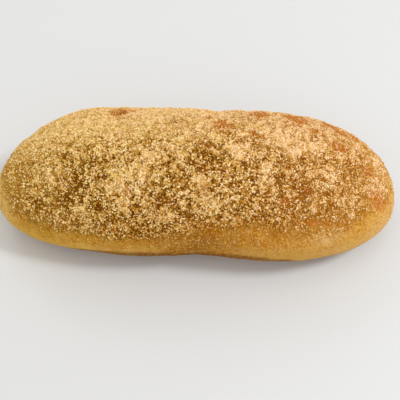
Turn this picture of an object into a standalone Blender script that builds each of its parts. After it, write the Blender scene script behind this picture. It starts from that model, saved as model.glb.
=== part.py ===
"""A long fried bun rolled in roasted soybean flour and sugar.

The bun is one solid: a soft, slightly uneven loaf with a flat foot, and the
largest clumps of the coating fused to its upper side. It lies along X, rests
on Z = 0, and its box is centred on the origin in X and Y. Units are metres.
"""

import math
import random

import bmesh
import bpy
from mathutils import Matrix, Vector, noise
from mathutils.bvhtree import BVHTree

# Overall size
LENGTH = 0.180
WIDTH = 0.0677  # across the waist, without the lobes
HEIGHT = 0.0475  # without the clumps

# Form of the loaf
EQUATOR_MIDDLE = 0.022  # height of the widest line at the middle
EQUATOR_END = 0.015  # and at the two ends, which droop
FOOT_PRESS = 0.0012  # how far the soft base is pressed flat by its own weight
PLAN_POWER = 3.6  # outline seen from above: 2 is an ellipse, more is blunter
CROWN_POWER = 3.0  # outline of the top, seen from the side
BASE_POWER = 4.6  # outline of the base, seen from the side
DOME_POWER = 2.15  # cross-section above the widest line
BELLY_POWER = 2.8  # cross-section below it
END_BEND = 0.0024  # how far the two ends bend to the front

# Where a side comes in, or stands out if the depth is negative: x, half-length, depth.
# The front is fullest on the right and the back on the left, with a waist between.
FRONT_DENTS = (
    (0.0025, 0.0062, 0.0008),
    (0.0485, 0.020, -0.0029),
    (-0.052, 0.016, 0.0021),
    (-0.080, 0.011, 0.0010),
)
BACK_DENTS = ((0.0092, 0.0045, 0.0014), (-0.054, 0.015, -0.0044), (-0.080, 0.011, 0.0010))
CROWN_DENTS = ((0.006, 0.014, -0.0008),)

# Shallow fold along the front shoulder, on the right, seen from above
FOLD_START = (0.0430, -0.0281)
FOLD_END = (0.0690, -0.0262)
FOLD_WIDTH = 0.0026
FOLD_DEPTH = 0.0008

# Unevenness of the fried skin, as wavelength and height
SWELLS = (0.034, 0.0009)
LUMPS = (0.0105, 0.00036)
CRAGS = (0.0052, 0.00034)  # caked flour, on the upper side only

# Heights between which the coating thins out down the sides
FLOUR_FROM = 0.022
FLOUR_FULL = 0.034

# Faces along each side of the box that the loaf is shaped from
FACES_LONG = 39
FACES_WIDE = 17
FACES_HIGH = 12

# Clumps of flour and sugar
CLUMP_PITCH = 0.0072
CLUMP_JITTER = 0.42  # share of the pitch
CLUMP_RADIUS = (0.0008, 0.0019)
CLUMP_SPREAD = 1.6  # above 1, small clumps outnumber the large ones
CLUMP_FLATNESS = 0.55  # half its thickness over its radius
CLUMP_SUNK = 0.42  # share of its thickness below the crust
CLUMP_NARROWEST = 0.85  # least width over length
CLUMP_ROUGHNESS = 0.22  # how far its corners stand in or out
CLUMP_EDGE = 0.93  # clumps lie within this share of the outline
BARE_PATCHES = (0.019, 0.13)  # patches without clumps, as wavelength and threshold
SEED = 7

CRUST_COLOUR = (0.47, 0.23, 0.065, 1.0)
CRUST_ROUGHNESS = 0.75


def clear_scene():
    """Removes whatever objects the file holds."""
    for obj in list(bpy.data.objects):
        bpy.data.objects.remove(obj)


def crust_material():
    """Golden brown crust dulled by flour."""
    material = bpy.data.materials.new("kinako_crust")
    material.use_nodes = True
    shader = material.node_tree.nodes["Principled BSDF"]
    shader.inputs["Base Color"].default_value = CRUST_COLOUR
    shader.inputs["Roughness"].default_value = CRUST_ROUGHNESS
    shader.inputs["Metallic"].default_value = 0.0
    return material


def bell(distance, half_length):
    """A smooth bump: 1 at no distance, fading out past the half-length."""
    return math.exp(-((distance / half_length) ** 2) / 2)


def depth_at(x, dents):
    """Depth at x of dents that are each a place, a half-length and a depth."""
    return sum(depth * bell(x - place, half_length) for place, half_length, depth in dents)


def taper(s, power):
    """Share of the full size at s, from -1 at one end through 0 to 1."""
    return math.sqrt(max(0.0, 1 - abs(s) ** power))


def half_width(s, on_front):
    """Half the width at s, for the front or the back long side."""
    dents = FRONT_DENTS if on_front else BACK_DENTS
    return (WIDTH / 2 - depth_at(s * LENGTH / 2, dents)) * taper(s, PLAN_POWER)


def equator(s):
    """Height of the widest line at s."""
    return EQUATOR_MIDDLE + (EQUATOR_END - EQUATOR_MIDDLE) * s**4


def loaf_point(direction):
    """Where the loaf's surface lies for a unit direction from its middle."""
    s = max(-1.0, min(1.0, direction.x))
    ring = math.hypot(direction.y, direction.z)
    across, up = (direction.y / ring, direction.z / ring) if ring > 1e-9 else (1.0, 0.0)
    power = DOME_POWER if up >= 0 else BELLY_POWER
    reach = (abs(across) ** power + abs(up) ** power) ** (-1 / power)
    y = half_width(s, across < 0) * reach * across - END_BEND * s**2
    if up >= 0:
        crown = HEIGHT + FOOT_PRESS - EQUATOR_MIDDLE - depth_at(s * LENGTH / 2, CROWN_DENTS)
        rise = crown * taper(s, CROWN_POWER)
    else:
        rise = equator(s) * taper(s, BASE_POWER)
    return Vector((s * LENGTH / 2, y, equator(s) + rise * reach * up))


def floured(point):
    """Share of flour at a point: none on the pale side band, full above it."""
    return max(0.0, min(1.0, (point.z - FLOUR_FROM) / (FLOUR_FULL - FLOUR_FROM)))


def fold_depth(point):
    """Depth at a point of the fold along the front shoulder."""
    start = Vector(FOLD_START)
    run = Vector(FOLD_END) - start
    place = point.xy - start
    share = max(0.0, min(1.0, place.dot(run) / run.length_squared))
    return FOLD_DEPTH * bell((place - share * run).length, FOLD_WIDTH)


def unevenness(point):
    """How far the fried skin stands out from the smooth loaf at a point."""
    out = 0.0
    for wavelength, height in (SWELLS, LUMPS):
        out += height * noise.noise(point / wavelength)
    wavelength, height = CRAGS
    out += height * noise.noise(point / wavelength) * floured(point)
    if point.z > EQUATOR_MIDDLE:
        out -= fold_depth(point)
    return out


def gridded_ball():
    """A box cut into a grid of faces and blown up to a ball, without poles."""
    ball = bmesh.new()
    bmesh.ops.create_cube(ball, size=2)
    for axis, faces in enumerate((FACES_LONG, FACES_WIDE, FACES_HIGH)):
        along = [
            edge
            for edge in ball.edges
            if abs(edge.verts[0].co[axis] - edge.verts[1].co[axis]) > 1
        ]
        bmesh.ops.subdivide_edges(ball, edges=along, cuts=faces - 1, use_grid_fill=True)
    for vertex in ball.verts:
        x, y, z = (value**2 for value in vertex.co)
        vertex.co.x *= math.sqrt(1 - y / 2 - z / 2 + y * z / 3)
        vertex.co.y *= math.sqrt(1 - z / 2 - x / 2 + z * x / 3)
        vertex.co.z *= math.sqrt(1 - x / 2 - y / 2 + x * y / 3)
    return ball


def shaped_loaf():
    """The loaf's mesh: shaped, made uneven, and pressed flat at its foot."""
    loaf = gridded_ball()
    for vertex in loaf.verts:
        vertex.co = loaf_point(vertex.co.normalized())
    loaf.normal_update()
    moves = [vertex.normal * unevenness(vertex.co) for vertex in loaf.verts]
    for vertex, move in zip(loaf.verts, moves):
        vertex.co += move
    for vertex in loaf.verts:
        vertex.co.z = max(0.0, vertex.co.z - FOOT_PRESS)
    return loaf


def centred(mesh):
    """Moves a mesh so that its box is centred on the origin in X and Y."""
    for axis in (0, 1):
        values = [vertex.co[axis] for vertex in mesh.vertices]
        middle = (min(values) + max(values)) / 2
        for vertex in mesh.vertices:
            vertex.co[axis] -= middle


def clump_sites(crust):
    """Place, outward direction and radius of each clump, evenly spread seen from above."""
    draw = random.Random(SEED)
    least, most = CLUMP_RADIUS
    tree = BVHTree.FromBMesh(crust)
    row_pitch = CLUMP_PITCH * math.sqrt(3) / 2
    rows = int(WIDTH / 2 / row_pitch)
    columns = int(LENGTH / 2 / CLUMP_PITCH) + 1
    for row in range(-rows, rows + 1):
        for column in range(-columns, columns + 1):
            x = (column + 0.5 * (row % 2)) * CLUMP_PITCH
            y = row * row_pitch
            x += draw.uniform(-1, 1) * CLUMP_JITTER * CLUMP_PITCH
            y += draw.uniform(-1, 1) * CLUMP_JITTER * CLUMP_PITCH
            radius = least + (most - least) * draw.random() ** CLUMP_SPREAD
            s = x / (LENGTH / 2)
            if abs(s) >= CLUMP_EDGE or abs(y) > CLUMP_EDGE * half_width(s, y < 0):
                continue
            wavelength, threshold = BARE_PATCHES
            if noise.noise(Vector((x, y, HEIGHT)) / wavelength) < -threshold:
                continue
            place, normal, _, _ = tree.ray_cast(Vector((x, y, 2 * HEIGHT)), Vector((0, 0, -1)))
            yield place, normal, radius


def add_clump(collection, place, normal, radius, draw):
    """One rough lump of flour and sugar, partly sunk in the crust."""
    half_thick = radius * CLUMP_FLATNESS
    lump = bmesh.new()
    bmesh.ops.create_icosphere(lump, subdivisions=1, radius=1)
    turn = Matrix.Rotation(draw.uniform(0, math.tau), 3, "Z")
    stand = normal.to_track_quat("Z", "Y").to_matrix()
    for vertex in lump.verts:
        shape = 1 + draw.uniform(-1, 1) * CLUMP_ROUGHNESS
        local = turn @ vertex.co * shape
        local.x *= radius
        local.y *= radius * draw.uniform(CLUMP_NARROWEST, 1.0)
        local.z *= half_thick
        vertex.co = place + stand @ local + normal * half_thick * (1 - 2 * CLUMP_SUNK)
    mesh = bpy.data.meshes.new("clump")
    lump.to_mesh(mesh)
    lump.free()
    collection.objects.link(bpy.data.objects.new("clump", mesh))


def fuse(body, collection):
    """Joins every object of the collection to the body, then removes them."""
    union = body.modifiers.new("fuse_clumps", "BOOLEAN")
    union.operation = "UNION"
    union.operand_type = "COLLECTION"
    union.collection = collection
    union.solver = "EXACT"
    graph = bpy.context.evaluated_depsgraph_get()
    fused = bpy.data.meshes.new_from_object(body.evaluated_get(graph))
    body.modifiers.clear()
    body.data = fused
    for obj in list(collection.objects):
        bpy.data.objects.remove(obj)
    bpy.data.collections.remove(collection)


def build_bun():
    """The whole bun as one object, in a collection of its own."""
    home = bpy.data.collections.new("kinako_fried_bun")
    bpy.context.scene.collection.children.link(home)
    clumps = bpy.data.collections.new("clumps")
    bpy.context.scene.collection.children.link(clumps)

    crust = shaped_loaf()
    mesh = bpy.data.meshes.new("bun")
    crust.to_mesh(mesh)
    bun = bpy.data.objects.new("bun", mesh)
    home.objects.link(bun)
    draw = random.Random(SEED)
    for place, normal, radius in clump_sites(crust):
        add_clump(clumps, place, normal, radius, draw)
    crust.free()

    bpy.context.view_layer.update()
    fuse(bun, clumps)
    centred(bun.data)
    bun.data.materials.clear()
    bun.data.materials.append(crust_material())
    bun.data.shade_smooth()
    return bun


clear_scene()
build_bun()
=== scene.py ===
"""The looks of a kinako fried bun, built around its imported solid.

The crust is a finer mesh of the same loaf as the solid. The coating of roasted
soybean flour and sugar is real grains, joined into one mesh for each kind.
Units are metres. The bun lies along X, with its front at -Y.
"""

import math
import random
from collections import namedtuple
from types import SimpleNamespace

import bmesh
import bpy
import numpy as np
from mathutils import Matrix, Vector, noise
from mathutils.bvhtree import BVHTree


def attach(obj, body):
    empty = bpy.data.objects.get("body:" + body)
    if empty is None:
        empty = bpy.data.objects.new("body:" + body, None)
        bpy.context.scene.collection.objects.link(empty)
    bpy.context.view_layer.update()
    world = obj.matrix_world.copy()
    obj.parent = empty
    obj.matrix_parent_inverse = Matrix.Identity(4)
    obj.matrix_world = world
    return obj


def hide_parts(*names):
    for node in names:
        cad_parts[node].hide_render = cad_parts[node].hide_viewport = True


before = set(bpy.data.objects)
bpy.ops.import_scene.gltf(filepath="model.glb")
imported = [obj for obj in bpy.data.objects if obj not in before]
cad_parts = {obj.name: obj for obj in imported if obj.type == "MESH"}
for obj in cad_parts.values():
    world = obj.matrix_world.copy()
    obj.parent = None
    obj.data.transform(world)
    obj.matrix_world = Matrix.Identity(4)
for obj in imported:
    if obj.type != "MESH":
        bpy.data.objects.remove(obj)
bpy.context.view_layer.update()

MM = 0.001

# The loaf, with the solid's own values
LENGTH = 0.180
WIDTH = 0.0677
HEIGHT = 0.0475
EQUATOR_MIDDLE = 0.022
EQUATOR_END = 0.015
FOOT_PRESS = 0.0012
PLAN_POWER = 3.6
CROWN_POWER = 3.0
BASE_POWER = 4.6
DOME_POWER = 2.15
BELLY_POWER = 2.8
END_BEND = 0.0024
# Dents: place along X, half-length and depth
FRONT_DENTS = (
    (0.0025, 0.0062, 0.0008),
    (0.0485, 0.020, -0.0029),
    (-0.052, 0.016, 0.0021),
    (-0.080, 0.011, 0.0010),
)
BACK_DENTS = ((0.0092, 0.0045, 0.0014), (-0.054, 0.015, -0.0044), (-0.080, 0.011, 0.0010))
CROWN_DENTS = ((0.006, 0.014, -0.0008),)
FOLD_START = (0.0430, -0.0281)
FOLD_END = (0.0690, -0.0262)
FOLD_WIDTH = 0.0026
FOLD_DEPTH = 0.0008
# Unevenness: wavelength and height
SWELLS = (0.034, 0.0009)
LUMPS = (0.0105, 0.00036)
CRAGS = (0.0052, 0.00034)
# Heights between which the crags, which are flour, set in
FLOUR_FROM = 0.022
FLOUR_FULL = 0.034

# The solid's clumps, at the same places
CLUMP_PITCH = 0.0072
CLUMP_JITTER = 0.42
CLUMP_RADIUS = (0.0008, 0.0019)
CLUMP_SPREAD = 1.6
CLUMP_EDGE = 0.93  # share of the outline within which they lie
BARE_PATCHES = (0.019, 0.13)  # wavelength and threshold of the noise that leaves some out
CLUMP_SEED = 7

# Fine relief that the solid leaves out
CRUST_CELLS = (236, 100, 66)  # along X, Y and Z of the box that becomes the loaf
PEBBLES = (0.0024, 0.00014)  # wavelength and height
CAKE_DEPTH = 0.00040  # of flour where it lies thickest
CLUMP_RISE = 0.38  # height of a caked clump over its radius
CAKED_RISE = 0.0005  # height of a clump that adds half a full film in the coating
FOLD_LINE = (
    (0.0455, -0.0277),
    (0.0488, -0.0283),
    (0.0561, -0.0275),
    (0.0628, -0.0260),
    (0.0670, -0.0248),
)
FOLD_CREASE = (0.0007, 0.0006, 0.80)  # half-width, depth and how dark
CROWN_LINE = ((0.0020, 0.0017), (0.0072, 0.0004))
CROWN_CREASE = (0.0006, 0.0006, 0.5)
CREASE_END = (0.058, 0.068)  # X over which creases grow weaker

# The coating's lower edge along the front, as X, height and the height over which it fades out
FRONT_EDGE = (
    (-0.080, 0.0255, 0.0070),
    (-0.065, 0.0266, 0.0070),
    (-0.047, 0.0274, 0.0070),
    (-0.030, 0.0280, 0.0065),
    (-0.014, 0.0284, 0.0070),
    (-0.002, 0.0312, 0.0110),
    (0.0105, 0.0352, 0.0130),
    (0.0226, 0.0362, 0.0130),
    (0.035, 0.0348, 0.0115),
    (0.043, 0.0334, 0.0105),
    (0.0515, 0.0312, 0.0095),
    (0.060, 0.0292, 0.0090),
    (0.066, 0.0300, 0.0070),
    (0.070, 0.0318, 0.0060),
    (0.080, 0.0320, 0.0060),
)
BACK_EDGE = (0.0260, 0.0085)  # height and fade
EDGE_TURN = (-0.022, -0.012)  # Y over which the front's edge becomes the back's
# Noises that the edge strays by: wavelength, height and shift
EDGE_WAVES = ((0.008, 0.0018, 5.0), (0.003, 0.0012, 6.0))

# Noises of the coating and the crust: wavelength and shift
PATCHES = (0.015, 1.0)
MOTTLING = (0.0065, 8.0)
CLUSTERS = (0.0024, 7.0)  # of the coating, with gaps between them
SPOT_WOBBLE = (0.0026, 3.0)
CAKE_WAVES = (0.0017, 4.0)  # of the depth of caked flour
CREASE_BREAKS = (0.004, 9.0)  # along a crease

# Zones of the loaf, each with where it starts and where it is full
SIDE_TO_TOP = (0.032, 0.044)  # height
LEFT_END = (0.068, 0.082)  # -X
RIGHT = (0.010, 0.060)  # X
FRONT = (0.006, 0.016)  # -Y
BACK = (-0.008, 0.017)  # Y

# Spots where orange crust shows through: x, y, radius
BARE_SPOTS = (
    (0.0055, 0.0188, 0.0014),
    (0.0113, 0.0129, 0.0033),
    (0.0245, 0.0085, 0.0016),
    (0.0285, 0.0062, 0.0013),
    (0.0282, 0.0225, 0.0036),
    (0.0438, 0.0200, 0.0042),
    (0.0501, 0.0129, 0.0018),
    (0.0592, 0.0215, 0.0029),
    (0.0640, 0.0165, 0.0028),
    (0.0611, 0.0062, 0.0026),
    (0.0708, 0.0158, 0.0017),
    (0.0735, -0.0028, 0.0024),
    (0.0030, -0.0098, 0.0016),
    (0.0464, -0.0172, 0.0014),
    (0.0373, -0.0218, 0.0018),
    (0.0785, -0.0150, 0.0036),
    (-0.0330, 0.0235, 0.0040),
)
# Spots where the crust is darker and the grains fewer; the one just in front of the crown crease
# is painted shade from it
DARK_SPOTS = (
    (-0.0324, 0.0225, 0.0015),
    (-0.0088, 0.0141, 0.0012),
    (0.0032, -0.0095, 0.0024),
    (0.0149, -0.0107, 0.0022),
    (0.0195, -0.0073, 0.0016),
    (0.0441, -0.0171, 0.0024),
    (0.0052, -0.0030, 0.0020),
    (-0.0494, -0.0122, 0.0026),
    (-0.0532, -0.0195, 0.0020),
    (-0.0658, -0.0201, 0.0016),
    (-0.0251, -0.0251, 0.0018),
    (-0.0139, -0.0229, 0.0022),
    (-0.0385, -0.0232, 0.0022),
    (0.0349, -0.0128, 0.0020),
    (0.0445, -0.0053, 0.0020),
    (0.0531, -0.0026, 0.0018),
    (0.0360, -0.0031, 0.0016),
)
# Spots where the flour lies thick
THICK_SPOTS = (
    (-0.0227, -0.0130, 0.0036),
    (-0.0314, -0.0162, 0.0034),
    (-0.0197, -0.0048, 0.0026),
    (-0.0118, -0.0259, 0.0016),
    (-0.0462, -0.0249, 0.0016),
    (-0.0603, -0.0107, 0.0024),
    (0.0012, -0.0137, 0.0022),
    (0.0075, -0.0248, 0.0018),
    (0.0291, -0.0157, 0.0018),
    (0.0288, -0.0100, 0.0018),
    (0.0186, -0.0011, 0.0030),
    (0.0350, 0.0048, 0.0034),
    (0.0416, -0.0005, 0.0024),
    (0.0491, 0.0031, 0.0022),
    (0.0570, -0.0098, 0.0020),
    (0.0647, -0.0185, 0.0022),
    (0.0649, -0.0237, 0.0018),
    (0.0743, -0.0111, 0.0018),
)

# Screen colours of the crust and the flour on it, each as a pair: on the mustard-brown
# left of the bun and on its orange right
GOLDEN = ((216, 176, 70), (211, 163, 82))
AMBER = ((184, 126, 28), (188, 114, 14))
BROWN = ((78, 38, 0), (100, 47, 0))
DUSTED = ((226, 176, 78), (236, 184, 96))
# Darker crust, which on the lower belly is partly painted shade
DARK_CRUST_AND_SHADE = ((80, 40, 4), (110, 50, 2))
THIN_FLOUR = ((216, 166, 46), (222, 166, 52))
THICK_FLOUR = ((234, 202, 146), (236, 206, 172))
# and those that are the same on both
PEELED = (198, 112, 32)
CREASED = (190, 114, 42)
RUSTY = (216, 134, 62)
FLOOR = (219, 219, 220)

# How far to the orange right a look is: X, changed by this much for each metre of height and
# by noises of a wavelength, a shift and a strength, then stretched from this range
WARMTH_FALL = -1.4
WARMTH_STRAYS = ((0.012, 0.0, 0.07), (0.0045, 0.7, 0.18))
WARMTH_RANGE = (-0.005, 0.105)

# Wavelengths of fine noises in the looks
BLOTCHES = 0.0022
FLECKS = 0.0010
POWDER_SPECKLE = 0.0008
GRIT = 0.0007
GRAIN_MOTTLING = 0.0006
STREAKS = (500, 90, 90)  # scale along X, Y and Z

# The kinds of grains. form: the primitive that each grain starts from and its values. sizes:
# least and most half size, and a power that is higher the more small ones there are. cover: a
# power that is higher the closer they keep to the dense coat. strays: how many lie on the bare
# sides. shape: values for joined_grains. dark and light: a pair of screen colours each, as above.
Grains = namedtuple(
    "Grains", "piece seed count form sizes cover strays shape look dark light roughness shine"
)
KINDS = (
    Grains(
        piece="sugar_grains",
        seed=11,
        count=16000,
        form=(bmesh.ops.create_cube, {"size": 1.5}),
        sizes=(0.29 * MM, 0.52 * MM, 1.5),
        cover=1.4,
        strays=0.05,
        shape={"flat": 0.85, "long": 1.3, "rough": 0.3, "tilt": 0.7},
        look="sugar",
        dark=((192, 136, 44), (198, 134, 50)),
        light=((250, 226, 164), (255, 224, 180)),
        roughness=0.5,
        shine=0.06,
    ),
    Grains(
        piece="flour_crumbs",
        seed=12,
        count=9900,
        form=(bmesh.ops.create_icosphere, {"subdivisions": 1, "radius": 1}),
        sizes=(0.28 * MM, 0.56 * MM, 1.5),
        cover=1.2,
        strays=0.03,
        shape={"flat": 0.75, "long": 1.5, "rough": 0.35},
        look="roasted_flour",
        dark=((176, 122, 28), (184, 122, 34)),
        light=((248, 216, 144), (254, 214, 162)),
        roughness=0.85,
        shine=0.0,
    ),
    Grains(
        piece="flour_dust",
        seed=13,
        count=24500,
        form=(bmesh.ops.create_uvsphere, {"u_segments": 4, "v_segments": 2, "radius": 1}),
        sizes=(0.17 * MM, 0.34 * MM, 1.5),
        cover=1,
        strays=1,
        shape={"long": 1.7, "tilt": 0.6},
        look="fine_flour",
        dark=((152, 94, 2), (164, 97, 5)),
        light=((246, 208, 132), (252, 206, 150)),
        roughness=0.9,
        shine=0.0,
    ),
    Grains(
        piece="flour_clumps",
        seed=14,
        count=800,
        form=(bmesh.ops.create_icosphere, {"subdivisions": 2, "radius": 1}),
        sizes=(0.45 * MM, 0.85 * MM, 2),
        cover=1.5,
        strays=0,
        shape={"flat": 0.55, "rough": 0.4, "sunk": 0.4},
        look="caked_flour",
        dark=((196, 146, 60), (202, 146, 68)),
        light=((248, 214, 134), (252, 212, 154)),
        roughness=0.9,
        shine=0.0,
    ),
)

# Soft studio light: two key lamps on the right, weak ones behind and on the left. Azimuth from
# +X towards +Y and elevation in degrees, diameter in metres, power in watts
LAMPS = {
    "key": (0, 55, 0.14, 2.4),
    "second_key": (-8, 52, 0.10, 1.6),
    "back": (120, 40, 0.40, 0.75),
    "fill": (205, 32, 0.50, 0.45),
}
LAMP_COLOUR = (0.91, 0.96, 1.0)
SURROUND_COLOUR = (1.0, 0.98, 0.93, 1.0)
SURROUND_STRENGTH = 0.79
FLOOR_SIZE = 6
FLOOR_DROP = 0.1 * MM  # below the bun's foot, so that the two don't flicker

# Camera, looking down on the front
CAMERA_ELEVATION = math.radians(60)
CAMERA_AZIMUTH = math.radians(0.8)
CAMERA_DISTANCE = 0.300
CAMERA_AIM = Vector((0.0022, -0.0102, 0.022))
CAMERA_SENSOR = 36  # millimetres wide
CAMERA_LENS = 61.3  # millimetres
CAMERA_NEAREST = 0.01  # nothing nearer is drawn


def colour(red, green, blue):
    """A shader colour from the red, green and blue of a screen, 0 to 255."""
    return tuple(
        value / 255 / 12.92 if value <= 10 else ((value / 255 + 0.055) / 1.055) ** 2.4
        for value in (red, green, blue)
    ) + (1.0,)


# The loaf's form


def bell(distance, half_length):
    """A smooth bump: 1 at no distance, fading out past the half-length."""
    return np.exp(-((distance / half_length) ** 2) / 2)


def ramp(value, low, high):
    """A soft step from 0 at low to 1 at high."""
    share = np.clip((value - low) / (high - low), 0, 1)
    return share * share * (3 - 2 * share)


def depth_at(x, dents):
    """Depth at x of dents that are each a place, a half-length and a depth."""
    return sum(depth * bell(x - place, half_length) for place, half_length, depth in dents)


def taper(s, power):
    """Share of the full size at s, from -1 at one end through 0 to 1."""
    return np.sqrt(np.maximum(0, 1 - np.abs(s) ** power))


def half_width(s, on_front):
    """Half the width at s, for the front or the back long side."""
    x = s * LENGTH / 2
    dents = np.where(on_front, depth_at(x, FRONT_DENTS), depth_at(x, BACK_DENTS))
    return (WIDTH / 2 - dents) * taper(s, PLAN_POWER)


def equator(s):
    """Height of the widest line at s."""
    return EQUATOR_MIDDLE + (EQUATOR_END - EQUATOR_MIDDLE) * s**4


def loaf_points(directions):
    """Where the smooth loaf's surface lies for unit directions from its middle."""
    s = np.clip(directions[:, 0], -1, 1)
    ring = np.hypot(directions[:, 1], directions[:, 2])
    on_axis = ring < 1e-9
    across = np.where(on_axis, 1.0, directions[:, 1] / np.maximum(ring, 1e-9))
    up = np.where(on_axis, 0.0, directions[:, 2] / np.maximum(ring, 1e-9))
    power = np.where(up >= 0, DOME_POWER, BELLY_POWER)
    reach = (np.abs(across) ** power + np.abs(up) ** power) ** (-1 / power)
    y = half_width(s, across < 0) * reach * across - END_BEND * s**2
    crown = HEIGHT + FOOT_PRESS - EQUATOR_MIDDLE - depth_at(s * LENGTH / 2, CROWN_DENTS)
    rise = np.where(up >= 0, crown * taper(s, CROWN_POWER), equator(s) * taper(s, BASE_POWER))
    return np.column_stack((s * LENGTH / 2, y, equator(s) + rise * reach * up))


def noise_at(points, wavelength, shift=0.0):
    """Smooth noise at each point, about -1 to 1."""
    scaled = points / wavelength + shift
    return np.array([noise.noise(Vector(point)) for point in scaled])


def from_line(points, start, end):
    """Distance of each point, seen from above, from a straight stretch."""
    start, run = np.array(start), np.subtract(end, start)
    place = points[:, :2] - start
    share = np.clip(place @ run / (run @ run), 0, 1)
    return np.linalg.norm(place - share[:, None] * run, axis=1)


def unevenness(points):
    """How far the solid's skin stands out from the smooth loaf."""
    out = sum(height * noise_at(points, wavelength) for wavelength, height in (SWELLS, LUMPS))
    wavelength, height = CRAGS
    floured = np.clip((points[:, 2] - FLOUR_FROM) / (FLOUR_FULL - FLOUR_FROM), 0, 1)
    out += height * noise_at(points, wavelength) * floured
    fold = FOLD_DEPTH * bell(from_line(points, FOLD_START, FOLD_END), FOLD_WIDTH)
    return out - np.where(points[:, 2] > EQUATOR_MIDDLE, fold, 0)


def gridded_ball(cells):
    """Corners and faces of a box cut into a grid and blown up to a ball."""
    found, faces = {}, []
    for axis in range(3):
        first, second = (axis + 1) % 3, (axis + 2) % 3
        for side in (0, cells[axis]):
            for i in range(cells[first]):
                for j in range(cells[second]):
                    quad = []
                    for step, other_step in ((0, 0), (1, 0), (1, 1), (0, 1)):
                        corner = [side] * 3
                        corner[first] = i + step
                        corner[second] = j + other_step
                        quad.append(found.setdefault(tuple(corner), len(found)))
                    faces.append(quad if side else quad[::-1])
    box = np.array(list(found)) / np.array(cells) * 2 - 1
    x, y, z = (box**2).T
    box[:, 0] *= np.sqrt(1 - y / 2 - z / 2 + y * z / 3)
    box[:, 1] *= np.sqrt(1 - z / 2 - x / 2 + z * x / 3)
    box[:, 2] *= np.sqrt(1 - x / 2 - y / 2 + x * y / 3)
    return box, faces


def normals_of(mesh):
    """The outward direction at each vertex."""
    values = np.empty(len(mesh.vertices) * 3, np.float32)
    mesh.vertices.foreach_get("normal", values)
    return values.reshape(-1, 3).astype(float)


def put_points(mesh, points):
    """Moves a mesh's vertices to these points."""
    mesh.vertices.foreach_set("co", points.astype(np.float32).ravel())
    mesh.update()


def put_share(mesh, name, values):
    """Keeps one number at each vertex under a name that a material can read."""
    layer = mesh.attributes.new(name, "FLOAT", "POINT")
    layer.data.foreach_set("value", np.asarray(values, np.float32))


# Where the coating lies


def clump_sites(points, quads):
    """Places and radii of the solid's clumps."""
    draw = random.Random(CLUMP_SEED)
    least, most = CLUMP_RADIUS
    tree = BVHTree.FromPolygons(points.tolist(), quads.tolist())
    row_pitch = CLUMP_PITCH * math.sqrt(3) / 2
    rows = int(WIDTH / 2 / row_pitch)
    columns = int(LENGTH / 2 / CLUMP_PITCH) + 1
    wavelength, threshold = BARE_PATCHES
    sites = []
    for row in range(-rows, rows + 1):
        for column in range(-columns, columns + 1):
            x = (column + 0.5 * (row % 2)) * CLUMP_PITCH
            y = row * row_pitch
            x += draw.uniform(-1, 1) * CLUMP_JITTER * CLUMP_PITCH
            y += draw.uniform(-1, 1) * CLUMP_JITTER * CLUMP_PITCH
            radius = least + (most - least) * draw.random() ** CLUMP_SPREAD
            s = x / (LENGTH / 2)
            if abs(s) >= CLUMP_EDGE or abs(y) > CLUMP_EDGE * half_width(s, y < 0):
                continue
            if noise.noise(Vector((x, y, HEIGHT)) / wavelength) < -threshold:
                continue
            place, _, _, _ = tree.ray_cast(Vector((x, y, 2 * HEIGHT)), Vector((0, 0, -1)))
            sites.append((place, radius))
    return sites


def clump_rise(points, clumps):
    """Height of the caked clumps above the crust at each point."""
    rise = np.zeros(len(points))
    x, y, z = points.T
    for (middle_x, middle_y, _), radius in clumps:
        near = (z > EQUATOR_MIDDLE) & (np.abs(x - middle_x) < 3 * radius)
        near &= np.abs(y - middle_y) < 3 * radius
        gap = np.hypot(x[near] - middle_x, y[near] - middle_y)
        rise[near] = np.maximum(rise[near], CLUMP_RISE * radius * bell(gap, 0.6 * radius))
    return rise


def spotted(points, spots):
    """From 0 to 1, how far each point lies within any of the spots, seen from above."""
    share = np.zeros(len(points))
    wobble = 1 + 0.7 * noise_at(points, *SPOT_WOBBLE)
    for x, y, radius in spots:
        gap = np.hypot(points[:, 0] - x, points[:, 1] - y)
        share = np.maximum(share, bell(gap * wobble, radius))
    return share


def coating_edge(points):
    """Height of the coating's lower edge and the height over which it fades out, at each point."""
    places, heights, fades = zip(*FRONT_EDGE)
    behind = ramp(points[:, 1], *EDGE_TURN)
    edge = np.interp(points[:, 0], places, heights) * (1 - behind) + BACK_EDGE[0] * behind
    fade = np.interp(points[:, 0], places, fades) * (1 - behind) + BACK_EDGE[1] * behind
    for wavelength, height, shift in EDGE_WAVES:
        edge = edge + height * noise_at(points, wavelength, shift)
    return edge, fade


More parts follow.
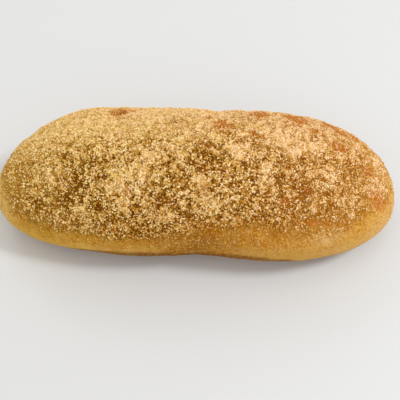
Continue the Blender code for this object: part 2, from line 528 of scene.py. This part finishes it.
def zones_at(points):
    """The zones that each point lies in, as shares from 0 to 1, and the noises there."""
    x, y, z = points.T
    edge, fade = coating_edge(points)
    at = SimpleNamespace(x=x, y=y, z=z, edge=edge, fade=fade, lowest=edge - fade / 2)
    at.reach = ramp(z, at.lowest, edge + fade / 2)  # 0 below the coating to 1 in it
    at.bare = ramp(spotted(points, BARE_SPOTS), 0.25, 0.85)
    at.dark = spotted(points, DARK_SPOTS)
    at.thick = spotted(points, THICK_SPOTS)
    at.patches = noise_at(points, *PATCHES)
    at.mottling = noise_at(points, *MOTTLING)
    at.clusters = np.clip(0.5 + 1.1 * noise_at(points, *CLUSTERS) + 0.1 * at.patches, 0, 1)

    at.upper = ramp(z, *SIDE_TO_TOP)
    at.left_end = ramp(-x, *LEFT_END)
    at.right = ramp(x, *RIGHT)
    at.front = ramp(-y, *FRONT)
    # The evenly floured back, which reaches round the right end
    leftward = ramp(0.03 * at.patches - x, -0.045, 0.030)
    at.back = ramp(y, *BACK) * (0.64 + 0.36 * leftward)
    at.back = np.maximum(at.back, 0.75 * ramp(x, 0.066, 0.080))
    # The front's lower coat
    at.low = (1 - at.upper) * (1 - at.back) * ramp(x, -0.055, -0.030)
    at.waist = bell(x - 0.001 + 0.006 * at.mottling, 0.013) * at.front * ramp(z, 0.004, 0.014)
    at.below_fold = bell(x - 0.056, 0.009) * bell(z - 0.0305, 0.0042) * at.front
    # Flour swept along the bare sides: right of the middle, on both ends and below the fold
    at.swept = np.max(
        (
            0.8 * ramp(x, 0.035, 0.062) * bell(z - 0.0175, 0.0055) * ramp(-y, -0.004, 0.008),
            0.95 * ramp(x, 0.064, 0.078) * bell(z - 0.0200, 0.0080),
            1.2 * ramp(-x, 0.070, 0.084) * bell(z - 0.0230, 0.0070),
            1.1 * at.below_fold,
        ),
        axis=0,
    )
    return at


def grains_at(at):
    """How dense the grains lie: in clusters in the coating, more evenly on the back."""
    grains = at.reach * (0.3 + 0.35 * at.back + (0.7 - 0.35 * at.back) * at.clusters)
    off_spots = (1 - 0.5 * at.bare) * (1 - 0.4 * at.dark)
    grains *= off_spots * (0.75 + 0.25 * at.upper) * (1 - 0.3 * at.left_end)
    # A tail of sparse grains below the coating
    tail = ramp(at.z, at.lowest - 0.009, at.lowest + 0.001) * (0.6 + 0.8 * (at.clusters - 0.5))
    return np.clip(np.maximum(grains * (1 + 0.5 * at.thick), 0.32 * tail), 0, 1)


def film_at(at):
    """How thick the film of flour on the crust is, with the dust on the bare sides."""
    film = 0.26 + 0.53 * at.back + 0.05 * at.patches + 0.45 * (at.clusters - 0.5)
    film = film + 0.4 * at.thick - 0.08 * at.low
    film = np.clip(film - 0.30 * at.dark - 0.1 * at.left_end, 0, 1) * (1 - 0.85 * at.bare)
    film *= ramp(at.z, at.lowest - 0.002 - 0.004 * ramp(-at.x, 0.020, 0.040), at.edge)
    dust = (0.28 + 0.2 * at.mottling) * ramp(at.z, 0.004, 0.022) * (1 - at.reach)
    return np.maximum(film, dust + 0.45 * at.swept)


def paleness_at(at):
    """How pale the flour is: most where it lies thick and on the back, there partly as painted
    sheen, with a painted highlight along the rim at the back.
    """
    # A painted highlight along the rim at the back
    rim = ramp(at.y, 0.012, 0.024) * ramp(at.x, -0.045, -0.020)
    # Paler on the back: thicker flour, and partly painted sheen
    pale = 0.38 + 0.38 * at.back + 0.45 * (at.clusters - 0.5) + 0.45 * at.thick - 0.25 * at.dark
    pale -= (0.22 + 0.20 * at.right) * at.low
    pale += 0.10 * rim
    return np.clip(pale * ramp(at.z, at.edge - 0.3 * at.fade, at.edge + 0.7 * at.fade), 0, 1)


def amber_at(at):
    """How amber rather than golden the crust is: under the coating and at the waist."""
    # How far amber shows below the coating, by place along the bun
    spill = np.max(
        (
            0.003 * ramp(-at.x, -0.010, 0.030),
            0.008 * ramp(at.x, 0.062, 0.074),
            0.0055 * bell(at.x - 0.028, 0.014),
        ),
        axis=0,
    )
    amber = ramp(at.z, at.lowest - 0.006 - spill, at.lowest + 0.006 - spill)
    amber *= 0.80 + 0.35 * at.mottling
    right_end, left_tip = ramp(at.x, 0.066, 0.078), ramp(-at.x, 0.076, 0.087)
    amber *= (1 - 0.5 * right_end) * (1 - 0.4 * at.below_fold) * (1 - 0.4 * left_tip)
    return np.clip(np.maximum(amber, at.waist * (0.7 + 0.6 * at.mottling)), 0, 1)


def belly_brown_and_shade_at(at):
    """How far each point lies on the darker lower belly, highest at the middle: partly browner
    crust, partly painted shade where it turns under.
    """
    belly = 0.0185 + 0.0018 * at.mottling - 0.010 * ramp(np.abs(at.x + 0.002), 0.026, 0.070)
    return ramp(belly - at.z, -0.0020, 0.0030)


def brownness_at(at):
    """How brown the crust is: between the grains, at the waist, on the belly, where it is partly
    painted shade, and at the foot.
    """
    brown = 0.74 + 0.20 * at.upper * (1 - at.right) + 0.12 * at.low
    brown -= (0.08 + 0.20 * (1 - at.upper)) * at.right
    brown *= at.reach * (1 - 0.4 * at.below_fold) * (1 - 0.5 * at.back)
    off_spots = (1 - 0.25 * at.bare) * (1 - 0.4 * at.thick)
    brown *= off_spots * (1 - 0.35 * at.left_end) * (1 - 0.22 * ramp(-at.x, 0.040, 0.065))
    foot = ramp(0.003 * at.mottling - at.z, -0.009, -0.001)
    # The lower belly's brown is partly painted shade
    others = (0.50 * at.waist, 0.04 + 0.12 * at.mottling, foot, 0.75 * belly_brown_and_shade_at(at))
    return np.clip(np.max((brown, *others), axis=0), 0, 1)


def shares_at(points):
    """What the look of each point of the crust depends on, as shares from 0 to 1."""
    at = zones_at(points)
    pale = paleness_at(at)
    return {
        "reach": at.reach,
        "grains": grains_at(at),
        "tone": np.maximum(pale, 0.45 * (1 - at.reach)),
        "film": film_at(at),
        "pale": np.maximum(pale, 0.4 * at.swept),
        "bare": at.bare,
        # The dark spots, and the lower belly partly as painted shade
        "dark": np.maximum(at.dark, 0.3 * belly_brown_and_shade_at(at)),
        "amber": amber_at(at),
        "brown": brownness_at(at),
    }


def crease_at(points, line, half_width):
    """How strong a crease along a line is at each point, in uneven stretches."""
    gap = np.min([from_line(points, *stretch) for stretch in zip(line, line[1:])], axis=0)
    crease = np.where(points[:, 2] > EQUATOR_MIDDLE, bell(gap, half_width), 0)
    crease *= 1 - 0.6 * ramp(points[:, 0], *CREASE_END)
    return crease * (0.7 + 0.9 * noise_at(points, *CREASE_BREAKS))


def build_crust():
    """The crust: the solid's loaf with its fine relief and the shares that its look reads."""
    directions, faces = gridded_ball(CRUST_CELLS)
    directions /= np.linalg.norm(directions, axis=1)[:, None]
    points = loaf_points(directions)
    mesh = bpy.data.meshes.new("bun_crust")
    mesh.from_pydata(points.tolist(), [], faces)
    mesh.update()
    points += normals_of(mesh) * unevenness(points)[:, None]
    put_points(mesh, points)
    quads = np.array(faces)

    # Lower clumps towards the back
    rise = clump_rise(points, clump_sites(points, quads))
    rise *= 1 - 0.5 * ramp(points[:, 1], 0.005, 0.020)
    shares = shares_at(points)
    caked = rise / CAKED_RISE * (0.1 + 0.4 * shares["reach"])
    shares["film"] = np.clip(shares["film"] + caked, 0, 1)
    wavelength, height = PEBBLES
    relief = height * noise_at(points, wavelength) * (0.3 + 0.7 * shares["reach"])
    cake = shares["film"] * shares["reach"]
    relief += CAKE_DEPTH * cake * (0.7 + 0.5 * noise_at(points, *CAKE_WAVES)) + rise
    creases = np.zeros(len(points))
    for line, (half_width, depth, shade) in ((FOLD_LINE, FOLD_CREASE), (CROWN_LINE, CROWN_CREASE)):
        crease = crease_at(points, line, half_width)
        relief -= depth * crease
        creases = np.maximum(creases, crease * shade)
    points += normals_of(mesh) * relief[:, None]
    # Pressed flat on the table and centred on it
    points[:, 2] = np.maximum(0, points[:, 2] - FOOT_PRESS)
    points[:, :2] -= (points[:, :2].min(0) + points[:, :2].max(0)) / 2
    put_points(mesh, points)

    shares["crease"] = np.clip(creases, 0, 1)
    shares["film"] *= 1 - shares["crease"]
    for name in ("film", "pale", "bare", "dark", "amber", "brown", "crease"):
        put_share(mesh, name, shares[name])
    mesh.shade_smooth()
    crust = bpy.data.objects.new("bun_crust", mesh)
    bpy.context.scene.collection.objects.link(crust)
    shares["grains"] *= np.clip(1 - 2.0 * shares["crease"], 0, 1)
    return crust, Surface(points, normals_of(mesh), quads, shares)


# Grains


def solid_form(make, values):
    """Corners and triangles of a primitive."""
    form = bmesh.new()
    make(form, **values)
    bmesh.ops.triangulate(form, faces=form.faces)
    form.verts.index_update()
    corners = np.array([vertex.co for vertex in form.verts])
    triangles = np.array([[vertex.index for vertex in face.verts] for face in form.faces])
    form.free()
    return corners, triangles


def frames_on(normals, draw, tilt):
    """A turned frame on each normal, as matrices whose columns are its axes."""
    up = normals + draw.normal(0, tilt, normals.shape)
    up /= np.linalg.norm(up, axis=1)[:, None]
    along = draw.normal(0, 1, up.shape)
    along -= np.sum(along * up, axis=1)[:, None] * up
    along /= np.linalg.norm(along, axis=1)[:, None]
    return np.stack((along, np.cross(up, along), up), axis=2)


class Surface:
    """The crust as triangles that grains can be drawn on."""

    def __init__(self, points, normals, quads, shares):
        self.triangles = np.concatenate((quads[:, (0, 1, 2)], quads[:, (0, 2, 3)]))
        self.points, self.normals = points, normals
        self.tone, self.reach, self.bare = shares["tone"], shares["reach"], shares["bare"]
        a, b, c = (points[self.triangles[:, i]] for i in range(3))
        self.areas = np.linalg.norm(np.cross(b - a, c - a), axis=1) / 2
        self.cover = shares["grains"][self.triangles].mean(1)
        # Weight of stray grains on the bare sides, least at the foot
        self.side = 0.04 + 0.10 * ramp(((a + b + c) / 3)[:, 2], 0.014, 0.030)

    def draw(self, count, weights, draw):
        """Grains drawn by area and weight: places, outward directions, tones, rust and coating.

        Tones differ less on the bare sides.
        """
        chances = self.areas * weights
        picked = draw.choice(len(chances), count, p=chances / chances.sum())
        u, v = draw.random((2, count))
        outside = u + v > 1
        u[outside], v[outside] = 1 - u[outside], 1 - v[outside]
        shares = np.column_stack((1 - u - v, u, v))
        corners = self.triangles[picked]
        places = (self.points[corners] * shares[:, :, None]).sum(1)
        normals = (self.normals[corners] * shares[:, :, None]).sum(1)
        normals /= np.linalg.norm(normals, axis=1)[:, None]
        reach = (self.reach[corners] * shares).sum(1)
        tones = 0.75 * (self.tone[corners] * shares).sum(1) + 0.05 + 0.12 * reach
        tones += (0.35 + 0.9 * reach**2) * draw.uniform(-0.5, 0.5, count)
        rust = (self.bare[corners] * shares).sum(1) * draw.uniform(0.3, 1.0, count)
        return places, normals, np.clip(tones, 0, 1), rust, reach


def joined_grains(
    name, form, spots, sizes, draw, flat=0.7, long=1.0, rough=0.2, tilt=0.25, sunk=0.35
):
    """Many grains as one mesh: each is the form, made uneven, turned and stood on the crust.

    flat is the thickness over the width, long how far grains are drawn out, rough how far
    corners stray, tilt how far grains lean, and sunk the share of the thickness below the
    crust. Grains are finer on the back and below the coating's edge.
    """
    corners, triangles = form
    places, normals, tones, rust, reach = spots
    sizes = sizes * (1 - 0.3 * ramp(places[:, 1], 0.002, 0.022))
    sizes = sizes * (0.72 + 0.28 * ramp(reach, 0.2, 0.8))
    count, per_grain = len(places), len(corners)
    shapes = corners * (1 + draw.uniform(-rough, rough, (count, per_grain, 1)))
    shapes = shapes * draw.uniform(0.75, 1.0, (count, 1, 3)) * np.array((long, long**-0.5, flat))
    turned = np.einsum("nij,nkj->nki", frames_on(normals, draw, tilt), shapes)
    lift = normals * (sizes * flat * (1 - 2 * sunk))[:, None]
    points = (places + lift)[:, None] + turned * sizes[:, None, None]
    points[:, :, 2] = np.maximum(points[:, :, 2], 0)
    faces = (triangles + (np.arange(count) * per_grain)[:, None, None]).reshape(-1, 3)
    mesh = bpy.data.meshes.new(name)
    mesh.from_pydata(points.reshape(-1, 3).tolist(), [], faces.tolist())
    put_share(mesh, "tone", np.repeat(tones, per_grain))
    put_share(mesh, "rust", np.repeat(rust, per_grain))
    mesh.update()
    grains = bpy.data.objects.new(name, mesh)
    bpy.context.scene.collection.objects.link(grains)
    return grains


def build_grains(kind, surface):
    """Every grain of one kind, as one piece."""
    draw = np.random.default_rng(kind.seed)
    weights = surface.cover**kind.cover + kind.strays * surface.side
    spots = surface.draw(kind.count, weights, draw)
    least, most, power = kind.sizes
    sizes = least + (most - least) * draw.random(kind.count) ** power
    return joined_grains(kind.piece, solid_form(*kind.form), spots, sizes, draw, **kind.shape)


# Materials


def add_node(tree, kind, inputs=None, **settings):
    """A shader node with its settings; an input is a value or another node's output."""
    made = tree.nodes.new(kind)
    for name, value in settings.items():
        setattr(made, name, value)
    for name, value in (inputs or {}).items():
        if isinstance(value, bpy.types.NodeSocket):
            tree.links.new(value, made.inputs[name])
        else:
            made.inputs[name].default_value = value
    return made


def new_look(name, roughness, shine=0.5):
    """A material, its node tree and its shader."""
    material = bpy.data.materials.new(name)
    material.use_nodes = True
    shader = material.node_tree.nodes["Principled BSDF"]
    shader.inputs["Roughness"].default_value = roughness
    shader.inputs["Specular IOR Level"].default_value = shine
    return material, material.node_tree, shader


def place_on_object(tree):
    """Where a point lies on its object."""
    return add_node(tree, "ShaderNodeTexCoord").outputs["Object"]


def share_of(tree, name):
    """The number kept at the vertices under a name."""
    return add_node(tree, "ShaderNodeAttribute", attribute_name=name).outputs["Fac"]


def grain_noise(tree, wavelength, detail=2.0, roughness=0.5, shift=0.0):
    """Noise of a wavelength, about 0.2 to 0.8."""
    place = place_on_object(tree)
    if shift:
        shifts = {0: place, 1: (shift, shift, shift)}
        place = add_node(tree, "ShaderNodeVectorMath", shifts, operation="ADD").outputs[0]
    inputs = {"Vector": place, "Scale": 1 / wavelength, "Detail": detail, "Roughness": roughness}
    return add_node(tree, "ShaderNodeTexNoise", inputs).outputs["Fac"]


def streaks(tree):
    """Noise drawn out from top to foot, about 0.2 to 0.8."""
    scales = {0: place_on_object(tree), 1: STREAKS}
    place = add_node(tree, "ShaderNodeVectorMath", scales, operation="MULTIPLY").outputs[0]
    inputs = {"Vector": place, "Scale": 1.0, "Detail": 2.0}
    return add_node(tree, "ShaderNodeTexNoise", inputs).outputs["Fac"]


def stepped(tree, value, low, high, to_low=0.0, to_high=1.0):
    """A value stretched from one range to another and held within it."""
    ranges = {"From Min": low, "From Max": high, "To Min": to_low, "To Max": to_high}
    return add_node(tree, "ShaderNodeMapRange", {"Value": value, **ranges}).outputs["Result"]


def sums(tree, operation, first, second):
    """One arithmetic step on two values."""
    return add_node(tree, "ShaderNodeMath", {0: first, 1: second}, operation=operation).outputs[0]


def blended(tree, share, first, second):
    """The first colour where share is 0 and the second where it is 1."""
    mix = add_node(tree, "ShaderNodeMix", data_type="RGBA")
    for index, value in ((0, share), (6, first), (7, second)):
        if isinstance(value, bpy.types.NodeSocket):
            tree.links.new(value, mix.inputs[index])
        else:
            mix.inputs[index].default_value = value
    return mix.outputs[2]


def paired(tree, warm, pair):
    """A pair of screen colours, the first where warm is 0 and the second where it is 1."""
    return blended(tree, warm, *(colour(*screen) for screen in pair))


def warmth(tree):
    """0 on the mustard-brown upper left of the bun to 1 on its orange right."""
    place = add_node(tree, "ShaderNodeSeparateXYZ", {0: place_on_object(tree)})
    fall = sums(tree, "MULTIPLY", place.outputs["Z"], WARMTH_FALL)
    strayed = sums(tree, "ADD", place.outputs["X"], fall)
    for wavelength, shift, strength in WARMTH_STRAYS:
        stray = sums(tree, "MULTIPLY", grain_noise(tree, wavelength, shift=shift), strength)
        strayed = sums(tree, "ADD", strayed, stray)
    return stepped(tree, strayed, *WARMTH_RANGE)


def crust_skin(tree, warm):
    """The colour of the fried crust itself."""
    golden, amber, brown = (paired(tree, warm, pair) for pair in (GOLDEN, AMBER, BROWN))
    blotches = grain_noise(tree, BLOTCHES, detail=4, roughness=0.75)
    browning = stepped(tree, blotches, 0.3, 0.7, -0.5, 0.5)
    browning = sums(tree, "ADD", browning, stepped(tree, streaks(tree), 0.3, 0.7, -0.25, 0.25))
    skin = blended(tree, sums(tree, "ADD", share_of(tree, "amber"), browning), golden, amber)
    peeled = sums(tree, "MULTIPLY", share_of(tree, "bare"), 0.8)
    skin = blended(tree, peeled, skin, colour(*PEELED))

    # Fine flecks: dusted ones, fewer where it is brown, and browned ones between them
    fleck = grain_noise(tree, FLECKS, detail=3, roughness=0.7, shift=0.3)
    fewer = stepped(tree, share_of(tree, "brown"), 0.0, 1.0, 1.0, 0.2)
    dusty = sums(tree, "MULTIPLY", stepped(tree, fleck, 0.48, 0.62, 0.0, 0.6), fewer)
    skin = blended(tree, dusty, skin, paired(tree, warm, DUSTED))
    between = stepped(tree, fleck, 0.42, 0.64, 1.1, 0.5)
    skin = blended(tree, sums(tree, "MULTIPLY", share_of(tree, "brown"), between), skin, brown)

    # Darker crust in the dark spots, and painted shade on the lower belly
    dark_crust_and_shade = sums(tree, "MULTIPLY", share_of(tree, "dark"), 0.6)
    skin = blended(tree, dark_crust_and_shade, skin, paired(tree, warm, DARK_CRUST_AND_SHADE))
    # Orange crust in the creases, where the flour is gone; at the crown crease it is partly
    # painted shade
    return blended(tree, share_of(tree, "crease"), skin, colour(*CREASED))


def crust_look():
    """Fried crust, golden to orange, under a patchy film of flour."""
    material, tree, shader = new_look("fried_crust", 0.6, shine=0.01)
    warm = warmth(tree)
    skin = crust_skin(tree, warm)
    thin, thick = (paired(tree, warm, pair) for pair in (THIN_FLOUR, THICK_FLOUR))
    flour = blended(tree, share_of(tree, "pale"), thin, thick)
    # Powder is where a fine speckle passes an edge that is lower the thicker the film is
    speckle = grain_noise(tree, POWDER_SPECKLE, detail=3, roughness=0.7)
    edge = stepped(tree, share_of(tree, "film"), 0.0, 1.0, 0.70, 0.34)
    powder = stepped(tree, sums(tree, "SUBTRACT", speckle, edge), -0.02, 0.05)
    tree.links.new(blended(tree, powder, skin, flour), shader.inputs["Base Color"])
    tree.links.new(stepped(tree, powder, 0.0, 1.0, 0.5, 0.95), shader.inputs["Roughness"])
    grit = grain_noise(tree, GRIT, detail=3, roughness=0.65)
    bump = add_node(tree, "ShaderNodeBump", {"Height": grit, "Strength": 0.5, "Distance": 0.0003})
    tree.links.new(bump.outputs[0], shader.inputs["Normal"])
    return material


def grain_look(kind):
    """One kind of grain: each grain has its own tone, from dark to light, warmer to the right.

    Blue rises later than red and green, most of all on the warm side, so that middle tones
    are golden.
    """
    material, tree, shader = new_look(kind.look, kind.roughness, kind.shine)
    warm = warmth(tree)
    dark, light = paired(tree, warm, kind.dark), paired(tree, warm, kind.light)
    mottling = stepped(tree, grain_noise(tree, GRAIN_MOTTLING), 0.3, 0.7, -0.1, 0.1)
    tone = stepped(tree, sums(tree, "ADD", share_of(tree, "tone"), mottling), 0.0, 1.0)
    plain = add_node(tree, "ShaderNodeSeparateColor", {0: blended(tree, tone, dark, light)})
    slower = sums(tree, "POWER", tone, stepped(tree, warm, 0.1, 0.6, 1.25, 1.5))
    golden = add_node(tree, "ShaderNodeSeparateColor", {0: blended(tree, slower, dark, light)})
    parts = {0: plain.outputs[0], 1: plain.outputs[1], 2: golden.outputs[2]}
    flour = add_node(tree, "ShaderNodeCombineColor", parts).outputs[0]
    rust = sums(tree, "MULTIPLY", share_of(tree, "rust"), 0.8)
    tree.links.new(blended(tree, rust, flour, colour(*RUSTY)), shader.inputs["Base Color"])
    return material


# Stage


def add_floor():
    """A plain pale floor."""
    bpy.ops.mesh.primitive_plane_add(size=FLOOR_SIZE, location=(0, 0, -FLOOR_DROP))
    floor = bpy.context.object
    floor.name = "floor"
    material, _, shader = new_look("pale_floor", 0.55)
    shader.inputs["Base Color"].default_value = colour(*FLOOR)
    floor.data.materials.append(material)


def add_lamp(name, azimuth, elevation, size, power):
    """A soft round lamp a metre from the bun, facing it; azimuth is from +X towards +Y."""
    turn, height = math.radians(azimuth), math.radians(elevation)
    level = math.cos(height)
    lamp = bpy.data.lights.new(name, "AREA")
    lamp.shape = "DISK"
    lamp.size = size
    lamp.energy = power
    lamp.color = LAMP_COLOUR
    holder = bpy.data.objects.new(name, lamp)
    holder.location = (math.cos(turn) * level, math.sin(turn) * level, math.sin(height))
    holder.rotation_euler = (-holder.location).to_track_quat("-Z", "Y").to_euler()
    bpy.context.scene.collection.objects.link(holder)


def add_lights():
    """The lamps and a pale warm surround."""
    world = bpy.data.worlds.new("studio")
    bpy.context.scene.world = world
    world.use_nodes = True
    surround = world.node_tree.nodes["Background"]
    surround.inputs["Color"].default_value = SURROUND_COLOUR
    surround.inputs["Strength"].default_value = SURROUND_STRENGTH
    for name, values in LAMPS.items():
        add_lamp(name, *values)


def add_camera():
    """The camera at the photograph's angle."""
    level = math.cos(CAMERA_ELEVATION)
    x, y = math.sin(CAMERA_AZIMUTH) * level, -math.cos(CAMERA_AZIMUTH) * level
    back = Vector((x, y, math.sin(CAMERA_ELEVATION)))
    camera = bpy.data.objects.new("camera", bpy.data.cameras.new("camera"))
    camera.data.lens = CAMERA_LENS
    camera.data.sensor_width = CAMERA_SENSOR
    camera.location = CAMERA_AIM + back * CAMERA_DISTANCE
    camera.rotation_euler = back.to_track_quat("Z", "Y").to_euler()
    camera.data.clip_start = CAMERA_NEAREST
    bpy.context.scene.collection.objects.link(camera)
    bpy.context.scene.camera = camera


def dress(piece, material):
    """Gives a piece its look and ties it to the bun."""
    piece.data.materials.append(material)
    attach(piece, "root")
    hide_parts("bun")


def main():
    bpy.context.scene.view_settings.view_transform = "Standard"
    crust, surface = build_crust()
    dress(crust, crust_look())
    for kind in KINDS:
        dress(build_grains(kind, surface), grain_look(kind))
    add_floor()
    add_lights()
    add_camera()


main()
